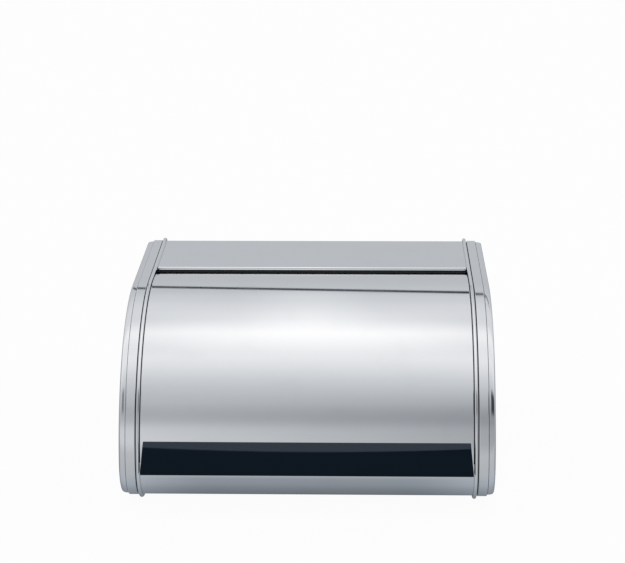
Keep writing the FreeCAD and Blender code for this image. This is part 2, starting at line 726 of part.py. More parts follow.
def rear_stiffener():
    """Bar under the rear edge of the lid, between the runners."""
    inner_radius = LID_INNER_RADIUS - size["stiffener_depth"]
    start = size["lid_start"] + size["lid_sweep"] - size["stiffener_sweep"]
    half = size["runner_inner_half"] - size["stiffener_gap"]
    arc = (start, size["stiffener_sweep"])
    body, _ = full_width_sector("rear_stiffener", half, inner_radius, LID_INNER_RADIUS, *arc)
    return body


def edge_runner(name, side):
    """Plastic runner under the lid's edge, with a tongue that reaches under the bead rim."""
    body = new_body(f"{name}_edge_runner")
    arc = (size["runner_start"], size["runner_sweep"])
    rib = side_sketch(body, side, size["runner_inner_half"])
    draw_sector(rib, RUNNER_INNER_RADIUS, LID_INNER_RADIUS, *arc)
    pad_outward(body, rib, side, size["runner_step_half"] - size["runner_inner_half"])
    tongue = side_sketch(body, side, size["runner_step_half"])
    draw_sector(tongue, RUNNER_INNER_RADIUS, RUNNER_TONGUE_RADIUS, *arc)
    pad_outward(body, tongue, side, size["runner_outer_half"] - size["runner_step_half"])
    return body


def guide_shoes(name, side):
    """Low-friction shoes under the runner's ends, riding on the liner's guide rib."""
    shoes = []
    for place, start in (("front", size["front_shoe_start"]), ("rear", size["rear_shoe_start"])):
        radii = (size["shoe_inner_radius"], RUNNER_INNER_RADIUS)
        label = f"{name}_{place}_guide_shoe"
        half_widths = (size["shoe_inner_half"], size["runner_outer_half"])
        shoes.append(sector_body(label, side, *half_widths, radii, start, size["shoe_sweep"]))
    return shoes


def lid_handle():
    """Full-width strip with a sloped finger ledge along its top and ends that slant outward."""
    outer_radius = size["arc_radius"] + size["handle_rise"]
    body, solid = full_width_sector(
        "lid_handle",
        size["bead_inner_half"],
        LID_OUTER_RADIUS + size["handle_gap"],
        outer_radius,
        size["handle_start"],
        size["handle_sweep"],
    )
    document.recompute()
    top_elevation = math.radians(size["handle_start"].number + size["handle_sweep"].number)
    ledge_height = outer_radius.number * math.sin(top_elevation) + size["axis_up"].number

    def upper_front_edge(edge):
        box = edge.BoundBox
        is_long = box.XLength > size["handle_top_half"].number
        return is_long and abs(box.ZMin - ledge_height) < EDGE_TOLERANCE

    ledge = body.newObject("PartDesign::Chamfer", "Chamfer")
    names = edge_names_in_frame(body, solid, upper_front_edge)
    ledge.Base = (solid, names)
    ledge.ChamferType = "Two distances"
    ledge.setExpression("Size", size["handle_ledge_drop"].formula)
    ledge.setExpression("Size2", size["handle_ledge"].formula)
    document.recompute()
    low_end = (size["handle_bottom_half"], as_size(0.0))
    high_end = (size["handle_top_half"], size["handle_slant_height"])
    corners = [low_end, (CAP_OUTER_HALF, low_end[1]), (CAP_OUTER_HALF, high_end[1]), high_end]
    for side in SIDES.values():
        slant = new_sketch(body, "XZ_Plane", 0)
        draw_polygon(slant, [(outward(side, across), up) for across, up in corners])
        pocket(body, slant, size["arc_radius"] * 2, along_normal=True)
    holes = new_sketch(body, "XZ_Plane", size["handle_screw_seat"])
    draw_circles(holes, handle_screw_places(), size["screw_shank_radius"])
    pocket(body, holes, size["handle_screw_length"], along_normal=True)
    return body


def edge_names_in_frame(body, feature, chosen):
    """The names of a feature's edges that a test accepts once they are placed in the whole frame."""
    placed = feature.Shape.copy()
    placed.Placement = body.Placement.multiply(placed.Placement)
    return [f"Edge{number}" for number, edge in enumerate(placed.Edges, 1) if chosen(edge)]


def handle_screw_places():
    """Centres of the handle screws in the front view."""
    middle = (HANDLE_SCREW_COUNT - 1) * 0.5
    spacing = size["handle_screw_spacing"]
    height = size["handle_screw_height"]
    return [(spacing * (number - middle), height) for number in range(HANDLE_SCREW_COUNT)]


def handle_screws():
    """Screws from inside the lid through the sheet into the handle."""
    seat = size["handle_screw_seat"]
    length = size["handle_screw_length"]
    return pan_screws("handle_screws", "XZ_Plane", seat, length, handle_screw_places())


# ---------------------------------------------------------------- the whole box

def build_all():
    """Every sub-part of the box, in the order of assembly."""
    parts = []
    for name, side in SIDES.items():
        parts += [end_cap(name, side), bead_rim(name, side), side_liner(name, side)]
        parts += lid_stops(name, side)
        parts.append(edge_runner(name, side))
        parts += guide_shoes(name, side)
    parts += [top_deck(), back_panel(), base_tray(), deck_front_rail(), lid_wiper()]
    parts += [rubber_foot(name, place) for name, place in foot_places().items()]
    parts += [back_screws(), base_screws()]
    parts += [lid_sheet(), rear_stiffener(), lid_handle(), handle_screws()]
    return parts


def check_document(parts):
    """Stop if any object failed to compute or any sub-part's shape isn't sound."""
    for item in document.Objects:
        if {"Invalid", "Error"} & set(item.State):
            raise RuntimeError(f"{item.Label} failed: {item.State}")
    for part in parts:
        if part.Shape.isNull() or not part.Shape.isValid():
            raise RuntimeError(f"{part.Label} has no sound shape")


def write_parts(parts):
    """Write each sub-part to a file named after it."""
    os.makedirs("parts", exist_ok=True)
    for part in parts:
        part.Shape.exportStep(f"parts/{part.Label}.step")


sub_parts = build_all()
document.recompute()
check_document(sub_parts)
write_parts(sub_parts)
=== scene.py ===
import math

import bmesh
import bpy
import numpy as np
from mathutils import Matrix


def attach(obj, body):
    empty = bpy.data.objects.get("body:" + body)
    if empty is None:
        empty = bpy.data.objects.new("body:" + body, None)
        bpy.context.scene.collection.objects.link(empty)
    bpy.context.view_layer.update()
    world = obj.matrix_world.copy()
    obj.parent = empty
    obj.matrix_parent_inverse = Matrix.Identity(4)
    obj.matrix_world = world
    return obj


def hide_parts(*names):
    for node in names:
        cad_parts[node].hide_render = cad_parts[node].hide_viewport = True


# Bread box with a roll top, in polished steel with a black full-width handle.
# Metres. X to the right, Y to the back, Z up. The lid turns about the line y = AXIS_Y, z = AXIS_Z.

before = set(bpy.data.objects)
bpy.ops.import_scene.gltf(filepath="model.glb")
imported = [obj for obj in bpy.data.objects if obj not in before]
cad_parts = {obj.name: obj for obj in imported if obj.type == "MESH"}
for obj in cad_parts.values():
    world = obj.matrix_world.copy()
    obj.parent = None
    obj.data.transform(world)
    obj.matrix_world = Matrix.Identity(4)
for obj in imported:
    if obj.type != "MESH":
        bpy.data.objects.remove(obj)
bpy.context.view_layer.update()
MM = 0.001
SIDES = {"left": -1.0, "right": 1.0}

# the case's side profile, measured from the lid axis
AXIS_Y, AXIS_Z = 4.1 * MM, 24.0 * MM
ARC_RADIUS = 145.0 * MM
BACK_DISTANCE = 138.8 * MM
BOTTOM_DISTANCE = 20.0 * MM
FRONT_CORNER = 37.5 * MM
BACK_CORNER = 5.0 * MM

# half widths of the ends' steps, and how far each stands above the wide band
BEAD_INNER, BEAD_OUTER = 148.2 * MM, 151.4 * MM
BEAD_RISE, BEAD_DEPTH, BEAD_ROUND = 2.5 * MM, -4.0 * MM, 1.5 * MM
GROOVE_END, GROOVE_DROP = 152.4 * MM, -1.5 * MM
BAND_END = 160.9 * MM
CAP_END, OUTER_DROP = 167.1 * MM, -1.3 * MM
CAP_ROUND, CAP_WALL = 2.6 * MM, 0.8 * MM
STEP_ROUND = 0.45 * MM
# width of the strip along the foot of the bands' step that is painted black rubber as shade
STEP_SHADE_STRIP = 0.5 * MM
CROWN = 2.6

# an extra point this far from a rounding keeps the flat beside it flat when it is shaded
GUARD = 0.3 * MM
# points closer than MERGE are one point, and NEAR allows for rounding in a comparison
MERGE = 0.0001 * MM
NEAR = 0.01 * MM

# sheets, with the lid's two ends in degrees above the front horizon
SHEET = 0.8 * MM
SHEET_EASE = 0.25 * MM
SHEET_DROP = -0.5 * MM
STRIP_TOP = 35.7 * MM
DECK_FRONT = 53.15 * MM
DECK_FLANGE_END = 147.0 * MM
LID_RISE = 1.6 * MM
LID_HALF = 147.5 * MM
LID_START, LID_END = 5.4, 112.0

# rail
RAIL_HALF = 147.8 * MM
RAIL_RADIUS = 1.7 * MM
RAIL_ROUND = 0.5 * MM
RAIL_Y, RAIL_Z = AXIS_Y + 47.3 * MM, AXIS_Z + 143.4 * MM
RAIL_FACETS = 64

# handle: radii from the lid axis, and heights and the crest in degrees above the front horizon
HANDLE_BACK, HANDLE_FACE = 146.7 * MM, 150.2 * MM
HANDLE_LOW, HANDLE_HIGH = 5.3, 16.9
CREST_MIDDLE, CREST_ENDS = 13.8, 15.05
CREST_SOFT = 0.10
LEDGE_SLOPE = 1.08 * MM
HANDLE_HALF_LOW, HANDLE_HALF_HIGH = 149.2 * MM, 144.8 * MM
HANDLE_SLANT_HEIGHT = 43.5 * MM
HANDLE_ROUND = 1.8 * MM
LEDGE_BLEND, LEDGE_SHIFT = 0.3, 0.3


# ---------------------------------------------------------------- shapes

def arc(centre, radius, start, end, count):
    """Points and outward normals on an arc: centre plus radius times (cos a, sin a), a in degrees."""
    angle = np.radians(np.linspace(start, end, count))
    normal = np.column_stack([np.cos(angle), np.sin(angle)])
    return np.array(centre) + radius * normal, normal


def straight(start, end, normal, count):
    """Points evenly along a straight run, all with one normal."""
    t = np.linspace(0.0, 1.0, count)[:, None]
    return (1 - t) * np.array(start) + t * np.array(end), np.tile(np.array(normal, float), (count, 1))


def front_corner_start():
    """Where the main arc meets the front corner's: the angle in degrees, and the corner's centre."""
    reach = ARC_RADIUS - FRONT_CORNER
    angle = math.pi - math.asin((FRONT_CORNER - BOTTOM_DISTANCE) / reach)
    return math.degrees(angle), (AXIS_Y + reach * math.cos(angle), AXIS_Z + reach * math.sin(angle))


def case_runs():
    """The side profile in (y, z) as named runs of points and normals, in order from the top of the arc.

    All arcs are tangent to what they meet, so a line at any rise above the profile is each point plus
    its normal times the rise.
    """
    meet, front_centre = front_corner_start()
    floor_z = AXIS_Z - BOTTOM_DISTANCE
    back_y = AXIS_Y + BACK_DISTANCE
    top_z = AXIS_Z + ARC_RADIUS
    low_z, high_z = floor_z + BACK_CORNER, top_z - BACK_CORNER
    round_y = back_y - BACK_CORNER
    return {
        "main_arc": arc((AXIS_Y, AXIS_Z), ARC_RADIUS, 90.0, meet, 97),
        "front_corner": arc(front_centre, FRONT_CORNER, meet, 270.0, 49),
        "bottom": straight((front_centre[0], floor_z), (round_y, floor_z), (0, -1), 5),
        "low_back_corner": arc((round_y, low_z), BACK_CORNER, -90.0, 0.0, 17),
        "back": straight((back_y, low_z), (back_y, high_z), (1, 0), 5),
        "top_back_corner": arc((round_y, high_z), BACK_CORNER, 0.0, 90.0, 17),
        "top": straight((round_y, top_z), (AXIS_Y, top_z), (0, 1), 5),
    }


def joined(runs):
    """One path from runs that meet end to end, each shared point kept once."""
    points = np.vstack([runs[0][0]] + [run[0][1:] for run in runs[1:]])
    normals = np.vstack([runs[0][1]] + [run[1][1:] for run in runs[1:]])
    return points, normals


def rounded_corner(corner, before, after, radius, count=5):
    """Section points of a corner rounded by a quadratic curve from one tangent point to the other."""
    corner = np.array(corner)
    t = np.linspace(0.0, 1.0, count)[:, None]
    start = corner + radius * np.array(before, float)
    end = corner + radius * np.array(after, float)
    return (1 - t) ** 2 * start + 2 * t * (1 - t) * corner + t ** 2 * end


def quarter(centre, radius, start, end, count=9):
    """Section points on part of a circle, angles in degrees from the outward x direction."""
    angle = np.radians(np.linspace(start, end, count))
    return np.column_stack([centre[0] + radius * np.cos(angle), centre[1] + radius * np.sin(angle)])


def crowned_shoulder(centre, width, drop, count):
    """Section points of a nearly flat band that falls away into a side face.

    A quarter of a superellipse: (x / width)^CROWN + (z / drop)^CROWN = 1, with x = width * s^(2 / CROWN)
    and z = drop * c^(2 / CROWN) for the sine s and cosine c of an even angle.
    """
    angle = np.linspace(0.0, math.pi / 2, count)
    across = np.sin(angle) ** (2 / CROWN)
    up = np.abs(np.cos(angle)) ** (2 / CROWN)
    return np.column_stack([centre[0] + width * across, centre[1] + drop * up])


def spread_along(section, points, normals):
    """Every (x, rise) point of a section at every point of a path, path point by path point.

    Vertex (i, j) is x of section point j, and path point i plus its normal times the rise of point j.
    """
    rows, columns = len(points), len(section)
    place = points[:, None, :] + normals[:, None, :] * section[None, :, 1:2]
    x = np.broadcast_to(section[None, :, 0:1], (rows, columns, 1))
    return np.concatenate([x, place], axis=2).reshape(-1, 3)


def carry(section, path, closed):
    """A closed section carried along a path. An open path gets the section itself as both end faces."""
    points, normals = path
    if closed:
        points, normals = points[:-1], normals[:-1]
    rows, columns = len(points), len(section)
    faces = wrap_faces(rows, columns, closed, True)
    if not closed:
        faces += first_and_last_rows(rows, columns)
    return spread_along(section, points, normals), faces


def first_and_last_rows(rows, columns):
    """The two end faces of a grid of points: its first row and its last."""
    return [list(range(columns)), list(range((rows - 1) * columns, rows * columns))]


def wrap_faces(rows, columns, close_rows, close_columns):
    """Quads over a grid of points, joined round on itself where asked."""
    i = np.arange(rows if close_rows else rows - 1)[:, None]
    j = np.arange(columns if close_columns else columns - 1)[None, :]
    down, across = (i + 1) % rows, (j + 1) % columns
    quads = np.stack([i * columns + j, i * columns + across,
                      down * columns + across, down * columns + j], axis=-1)
    return quads.reshape(-1, 4).tolist()


def make_piece(name, vertices, faces, body, slot, stands_for, sharp=28.0):
    """One closed mesh in its slot's finish, with outward normals, on its body in place of its CAD nodes."""
    mesh = bpy.data.meshes.new(name)
    mesh.from_pydata(vertices.tolist(), [], faces)
    shape = bmesh.new()
    shape.from_mesh(mesh)
    bmesh.ops.remove_doubles(shape, verts=shape.verts, dist=MERGE)
    bmesh.ops.recalc_face_normals(shape, faces=shape.faces)
    shape.to_mesh(mesh)
    shape.free()
    mesh.shade_smooth()
    mesh.set_sharp_from_angle(angle=math.radians(sharp))
    mesh.materials.append(finishes[slot])
    piece = bpy.data.objects.new(name, mesh)
    bpy.context.scene.collection.objects.link(piece)
    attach(piece, body)
    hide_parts(*stands_for)
    return piece


def sided(section, side):
    """A right-hand section on its own side of the box: 1 is the right and -1 the left."""
    return section * np.array([side, 1.0])


# ---------------------------------------------------------------- finishes

def new_group(name, inputs, outputs):
    """An empty node group with named number inputs and the outputs given as (name, socket type)."""
    group = bpy.data.node_groups.new(name, "ShaderNodeTree")
    for label, value in inputs:
        socket = group.interface.new_socket(label, in_out="INPUT", socket_type="NodeSocketFloat")
        socket.default_value = value
    for label, kind in outputs:
        group.interface.new_socket(label, in_out="OUTPUT", socket_type=kind)
    return group, group.nodes.new("NodeGroupInput"), group.nodes.new("NodeGroupOutput")


def add(tree, kind, **settings):
    """A node with its properties set. Names that match an input set that input's value."""
    node = tree.nodes.new(kind)
    for key, value in settings.items():
        if hasattr(node, key):
            setattr(node, key, value)
        else:
            node.inputs[key.replace("_", " ")].default_value = value
    return node


def math_node(tree, operation, first, second=None, third=None, clamp=False):
    """A Math node. Each operand is a number or a socket; the result socket comes back."""
    node = tree.nodes.new("ShaderNodeMath")
    node.operation = operation
    node.use_clamp = clamp
    for slot_number, operand in enumerate((first, second, third)):
        if operand is None:
            continue
        if isinstance(operand, (int, float)):
            node.inputs[slot_number].default_value = operand
        else:
            tree.links.new(operand, node.inputs[slot_number])
    return node.outputs[0]


def remap(tree, value, low, high, to_low, to_high, smooth=True):
    """A value moved from one range to another and held at the ends, smoothly or in a straight line."""
    node = tree.nodes.new("ShaderNodeMapRange")
    node.interpolation_type = "SMOOTHSTEP" if smooth else "LINEAR"
    tree.links.new(value, node.inputs["Value"])
    for label, number in zip(("From Min", "From Max", "To Min", "To Max"), (low, high, to_low, to_high)):
        node.inputs[label].default_value = number
    return node.outputs["Result"]


def noise_at(tree, stretch, scale, detail):
    """Noise on Object coordinates, which are first multiplied by the three stretch factors."""
    coordinates = tree.nodes.new("ShaderNodeTexCoord")
    mapping = tree.nodes.new("ShaderNodeMapping")
    mapping.inputs["Scale"].default_value = stretch
    tree.links.new(coordinates.outputs["Object"], mapping.inputs["Vector"])
    noise = tree.nodes.new("ShaderNodeTexNoise")
    noise.inputs["Scale"].default_value = scale
    noise.inputs["Detail"].default_value = detail
    noise.inputs["Roughness"].default_value = 0.55
    tree.links.new(mapping.outputs["Vector"], noise.inputs["Vector"])
    return noise.outputs["Fac"]


def polishing_marks():
    """Fine polishing lines and longer streaks along the width, hand smudges, and dust on upward faces."""
    group, given, result = new_group(
        "polishing_marks",
        [("Roughness", 0.05), ("Lines", 0.02), ("Smudges", 0.03), ("Dust", 0.02)],
        [("Roughness", "NodeSocketFloat"), ("Height", "NodeSocketFloat"), ("Shade", "NodeSocketFloat")],
    )
    lines = noise_at(group, (6.0, 900.0, 900.0), scale=1.6, detail=2.0)
    streaks = noise_at(group, (14.0, 120.0, 120.0), scale=1.0, detail=4.0)
    smudge = noise_at(group, (1.0, 1.0, 1.4), scale=26.0, detail=5.0)
    smudge = remap(group, smudge, 0.48, 0.74, 0.0, 1.0)
    geometry = group.nodes.new("ShaderNodeNewGeometry")
    split = group.nodes.new("ShaderNodeSeparateXYZ")
    group.links.new(geometry.outputs["Normal"], split.inputs["Vector"])
    upward = remap(group, split.outputs["Z"], 0.75, 1.0, 0.0, 1.0)
    specks = noise_at(group, (1.0, 1.0, 1.0), scale=900.0, detail=2.0)
    specks = remap(group, specks, 0.62, 0.72, 0.0, 1.0)
    dust = math_node(group, "MULTIPLY", upward, specks)
    total = given.outputs["Roughness"]
    for part in (lines, streaks):
        about_nought = math_node(group, "SUBTRACT", part, 0.5)
        total = math_node(group, "MULTIPLY_ADD", about_nought, given.outputs["Lines"], total)
    smudge_part = math_node(group, "MULTIPLY", smudge, given.outputs["Smudges"])
    total = math_node(group, "ADD", total, smudge_part)
    total = math_node(group, "MULTIPLY_ADD", dust, given.outputs["Dust"], total, clamp=True)
    group.links.new(total, result.inputs["Roughness"])
    group.links.new(lines, result.inputs["Height"])
    shade = math_node(group, "MULTIPLY_ADD", smudge_part, -0.8, 1.0)
    group.links.new(shade, result.inputs["Shade"])
    return group


def moulded_grain():
    """The fine spark-eroded grain of moulded plastic and rubber, with a slow drift in shade."""
    group, given, result = new_group(
        "moulded_grain",
        [("Scale", 1400.0), ("Roughness", 0.4), ("Spread", 0.1)],
        [("Roughness", "NodeSocketFloat"), ("Height", "NodeSocketFloat"), ("Shade", "NodeSocketFloat")],
    )
    coordinates = group.nodes.new("ShaderNodeTexCoord")
    grain = group.nodes.new("ShaderNodeTexVoronoi")
    group.links.new(coordinates.outputs["Object"], grain.inputs["Vector"])
    group.links.new(given.outputs["Scale"], grain.inputs["Scale"])
    drift = noise_at(group, (1.0, 1.0, 1.0), scale=18.0, detail=4.0)
    spread = math_node(group, "MULTIPLY", math_node(group, "SUBTRACT", drift, 0.5), given.outputs["Spread"])
    rough = math_node(group, "ADD", given.outputs["Roughness"], spread, clamp=True)
    group.links.new(rough, result.inputs["Roughness"])
    group.links.new(grain.outputs["Distance"], result.inputs["Height"])
    group.links.new(remap(group, drift, 0.3, 0.7, 0.85, 1.1), result.inputs["Shade"])
    return group


GROUPS = {"polishing_marks": polishing_marks(), "moulded_grain": moulded_grain()}


def finish_material(name, colour, group_name, values, bump, **shader_values):
    """A material whose shade, roughness and bump come from a shared group. Bump is strength, distance."""
    material = bpy.data.materials.new(name)
    material.use_nodes = True
    tree = material.node_tree
    shader = tree.nodes["Principled BSDF"]
    for label, value in shader_values.items():
        shader.inputs[label.replace("_", " ")].default_value = value
    marks = tree.nodes.new("ShaderNodeGroup")
    marks.name = "marks"
    marks.node_tree = GROUPS[group_name]
    for label, value in values.items():
        marks.inputs[label].default_value = value
    tint = tree.nodes.new("ShaderNodeMix")
    tint.name = "tint"
    tint.data_type = "RGBA"
    tint.blend_type = "MULTIPLY"
    tint.inputs["Factor"].default_value = 1.0
    tint.inputs["A"].default_value = (*colour, 1.0)
    tree.links.new(marks.outputs["Shade"], tint.inputs["B"])
    tree.links.new(tint.outputs["Result"], shader.inputs["Base Color"])
    tree.links.new(marks.outputs["Roughness"], shader.inputs["Roughness"])
    relief = add(tree, "ShaderNodeBump", Strength=bump[0], Distance=bump[1])
    tree.links.new(marks.outputs["Height"], relief.inputs["Height"])
    tree.links.new(relief.outputs["Normal"], shader.inputs["Normal"])
    return material


def polished(name, colour, roughness, lines, smudges, dust=0.0, bump=0.004):
    """Polished metal with fine lines, smudges and dust."""
    values = {"Roughness": roughness, "Lines": lines, "Smudges": smudges, "Dust": dust}
    return finish_material(name, colour, "polishing_marks", values, (bump, 0.05 * MM), Metallic=1.0)


def moulded(name, colour, roughness, scale, bump, spread=0.1):
    """Moulded plastic or rubber with a fine grain."""
    values = {"Scale": scale, "Roughness": roughness, "Spread": spread}
    return finish_material(name, colour, "moulded_grain", values, (bump, 0.12 * MM))


FACE_BLACK = (0.0006, 0.0028, 0.0080, 1.0)
FACE_SHINE = 0.17
FACE_SHINE_TINT = (0.60, 0.85, 1.0, 1.0)
# painted light: the upward ledge is coloured greyer than the black face
LEDGE_PAINTED_LIGHT_GREY = (0.040, 0.048, 0.062, 1.0)
LEDGE_ROUGHER = 0.28


def handle_finish():
    """Deep black gloss on the face. Where the mesh's ledge attribute is one it goes to a rougher satin and to
    a greyer colour, the grey a painted light on the upward ledge.
    """
    values = {"Roughness": 0.09, "Lines": 0.02, "Smudges": 0.06, "Dust": 0.1}
    material = finish_material("handle_black", (1.0, 1.0, 1.0), "polishing_marks", values, (0.003, 0.05 * MM))
    tree = material.node_tree
    shader = tree.nodes["Principled BSDF"]
    shader.inputs["Specular IOR Level"].default_value = FACE_SHINE
    shader.inputs["Specular Tint"].default_value = FACE_SHINE_TINT
    # the ledge attribute mixes in the painted light grey and adds roughness
    ledge = add(tree, "ShaderNodeAttribute", attribute_name="ledge")
    colour = tree.nodes.new("ShaderNodeMix")
    colour.data_type = "RGBA"
    colour.inputs["A"].default_value = FACE_BLACK
    colour.inputs["B"].default_value = LEDGE_PAINTED_LIGHT_GREY
    tree.links.new(ledge.outputs["Fac"], colour.inputs["Factor"])
    tree.links.new(colour.outputs["Result"], tree.nodes["tint"].inputs["A"])
    marks = tree.nodes["marks"]
    rough = math_node(tree, "MULTIPLY_ADD", ledge.outputs["Fac"], LEDGE_ROUGHER, marks.outputs["Roughness"])
    tree.links.new(rough, shader.inputs["Roughness"])
    return material


STEEL = (0.805, 0.805, 0.812)
TRIM_STEEL = (0.84, 0.84, 0.85)
ZINC = (0.55, 0.56, 0.58)
LINER_GREY = (0.20, 0.205, 0.215)
NYLON = (0.62, 0.61, 0.57)
RUBBER_BLACK = (0.012, 0.012, 0.013)
finishes = {
    "sheet_steel": polished("sheet_steel_polished", STEEL, 0.055, lines=0.03, smudges=0.03, dust=0.05),
    "cap_steel": polished("cap_steel_polished", STEEL, 0.085, lines=0.05, smudges=0.035, dust=0.05),
    "bright_trim": polished("bright_trim_polished", TRIM_STEEL, 0.035, lines=0.02, smudges=0.02),
    "fasteners": polished("zinc_fasteners", ZINC, 0.26, lines=0.12, smudges=0.08, bump=0.03),
    "black_gloss": handle_finish(),
    "liner_plastic": moulded("liner_grey_plastic", LINER_GREY, 0.42, scale=1500.0, bump=0.25),
    "shoe_plastic": moulded("guide_shoe_nylon", NYLON, 0.38, scale=1800.0, bump=0.12),
    "rubber": moulded("black_rubber", RUBBER_BLACK, 0.62, scale=900.0, bump=0.35, spread=0.2),
}

# every CAD node that stays takes its slot's finish
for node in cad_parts.values():
    for index, old in enumerate(node.data.materials):
        name = old.name.split(".")[0]
        if name in finishes:
            node.data.materials[index] = finishes[name]


# ---------------------------------------------------------------- pieces

RUNS = case_runs()
WHOLE_CASE = joined(list(RUNS.values()))


def end_cap(name, side):
    """Groove, wide band, lower outer band and end face: an outer and an inner skin that meet at the bead."""
    r = STEP_ROUND
    inner_rise = OUTER_DROP - CAP_WALL
    low_rise = OUTER_DROP - CAP_ROUND
    crown_start = BAND_END + STEP_SHADE_STRIP
    outer = np.vstack([
        [(BEAD_OUTER, inner_rise), (BEAD_OUTER, GROOVE_DROP), (GROOVE_END, GROOVE_DROP)],
        rounded_corner((GROOVE_END, 0.0), (0, -1), (1, 0), r),
        [(GROOVE_END + r + GUARD, 0.0), (BAND_END - r - GUARD, 0.0)],
        rounded_corner((BAND_END, 0.0), (-1, 0), (0, -1), r),
        [(BAND_END, OUTER_DROP)],
        crowned_shoulder((crown_start, low_rise), CAP_END - crown_start, CAP_ROUND, 25),
    ])
    inner = np.vstack([
        [(BEAD_OUTER, inner_rise)],
        quarter((CAP_END - CAP_ROUND, low_rise), CAP_ROUND - CAP_WALL, 90.0, 0.0, 7),
    ])
    points, normals = WHOLE_CASE[0][:-1], WHOLE_CASE[1][:-1]
    rows = len(points)
    vertices, faces, base = [], [], 0
    for skin in (outer, inner):
        columns = len(skin)
        vertices.append(spread_along(sided(skin, side), points, normals))
        faces += [[base + corner for corner in face] for face in wrap_faces(rows, columns, True, False)]
        faces.append([base + row * columns + columns - 1 for row in range(rows)])
        base += rows * columns
    piece = make_piece(f"{name}_end_cap_shell", np.vstack(vertices), faces, "case", "cap_steel",
                       [f"{name}_end_cap"])
    # painted shade: black rubber on the groove and along the bands' step and its foot
    paint_groove_and_step_shade(piece.data)


def paint_groove_and_step_shade(mesh):
    """Painted shade: the black rubber finish on the groove beside the bead, and on a strip up the bands' step
    and along its foot, where only shade falls.
    """
    mesh.materials.append(finishes["rubber"])
    centre = np.empty(len(mesh.polygons) * 3, np.float32)
    mesh.polygons.foreach_get("center", centre)
    half_distance = np.abs(centre[0::3])
    # masks of the painted shade: the groove, then the step face and the strip at its foot
    groove_shade_faces = half_distance < GROOVE_END + NEAR
    step_shade_faces = np.abs(half_distance - BAND_END - STEP_SHADE_STRIP / 2) < STEP_SHADE_STRIP / 2 + NEAR
    mesh.polygons.foreach_set("material_index", (groove_shade_faces | step_shade_faces).astype(np.int32))


def bead_rim(name, side):
    """The rounded rim: a rounded-top section carried once round the case profile."""
    r = BEAD_ROUND
    section = np.vstack([
        [(BEAD_INNER, BEAD_DEPTH)],
        quarter((BEAD_INNER + r, BEAD_RISE - r), r, 180.0, 90.0),
        quarter((BEAD_OUTER - r, BEAD_RISE - r), r, 90.0, 0.0),
        [(BEAD_OUTER, BEAD_DEPTH)],
    ])
    vertices, faces = carry(sided(section, side), WHOLE_CASE, True)
    make_piece(f"{name}_rolled_bead", vertices, faces, "case", "bright_trim", [f"{name}_bead_rim"])


def sheet_section(half_width, outer):
    """A flat sheet's section: twice the half width across, one sheet thick, with eased edges.

    A point close inside each eased edge keeps the broad faces flat.
    """
    inner = outer - SHEET
    flat_end = half_width - SHEET_EASE - GUARD
    right = np.vstack([
        [(flat_end, outer)],
        rounded_corner((half_width, outer), (-1, 0), (0, -1), SHEET_EASE, 3),
        rounded_corner((half_width, inner), (0, 1), (-1, 0), SHEET_EASE, 3),
        [(flat_end, inner)],
    ])
    return np.vstack([right, sided(right[::-1], -1.0)])


def lid():
    """A sheet section carried round the lid axis through the lid's own arc."""
    path = arc((AXIS_Y, AXIS_Z), ARC_RADIUS, 180.0 - LID_START, 180.0 - LID_END, 129)
    vertices, faces = carry(sheet_section(LID_HALF, LID_RISE), path, False)
    make_piece("roll_lid_skin", vertices, faces, "lid", "sheet_steel", ["lid_sheet"])


def deck():
    """A sheet section carried along the flat top, round the back corner and down the flange."""
    top_z = AXIS_Z + ARC_RADIUS
    back_y = AXIS_Y + BACK_DISTANCE
    corner_points, corner_normals = RUNS["top_back_corner"]
    path = (
        np.vstack([[(DECK_FRONT, top_z)], corner_points[::-1], [(back_y, DECK_FLANGE_END)]]),
        np.vstack([[(0.0, 1.0)], corner_normals[::-1], [(1.0, 0.0)]]),
    )
    vertices, faces = carry(sheet_section(BEAD_INNER, SHEET_DROP), path, False)
    make_piece("deck_skin", vertices, faces, "case", "sheet_steel", ["top_deck"])


def tray():
    """A sheet section carried from the front strip's top, under the box and up the back flange."""
    rise = math.asin((STRIP_TOP - AXIS_Z) / (ARC_RADIUS + SHEET_DROP))
    meet, _ = front_corner_start()
    front = arc((AXIS_Y, AXIS_Z), ARC_RADIUS, 180.0 - math.degrees(rise), meet, 9)
    points, normals = joined([front, RUNS["front_corner"], RUNS["bottom"], RUNS["low_back_corner"]])
    points = np.vstack([points, [(AXIS_Y + BACK_DISTANCE, STRIP_TOP)]])
    normals = np.vstack([normals, [(1.0, 0.0)]])
    vertices, faces = carry(sheet_section(BEAD_INNER, SHEET_DROP), (points, normals), False)
    make_piece("base_skin", vertices, faces, "case", "sheet_steel", ["base_tray"])


def rail():
    """A rod turned about its own line: radius against x, eased at both ends."""
    end = quarter((RAIL_HALF - RAIL_ROUND, RAIL_RADIUS - RAIL_ROUND), RAIL_ROUND, 90.0, 0.0, 7)
    profile = np.vstack([end[::-1], sided(end, -1.0)])
    angle = np.linspace(0.0, 2 * math.pi, RAIL_FACETS, endpoint=False)[:, None]
    y = RAIL_Y + np.cos(angle) * profile[None, :, 1]
    z = RAIL_Z + np.sin(angle) * profile[None, :, 1]
    x = np.broadcast_to(profile[None, :, 0], y.shape)
    vertices = np.stack([x, y, z], axis=-1).reshape(-1, 3)
    columns = len(profile)
    faces = wrap_faces(RAIL_FACETS, columns, True, False)
    faces.append([row * columns for row in range(RAIL_FACETS)])
    faces.append([row * columns + columns - 1 for row in range(RAIL_FACETS)])
    make_piece("deck_rail_rod", vertices, faces, "case", "bright_trim", ["deck_front_rail"])


def crest_height(share):
    """Height of the ledge's front edge, in degrees, at a share of the half width: a parabola."""
    return CREST_MIDDLE + (CREST_ENDS - CREST_MIDDLE) * share ** 2


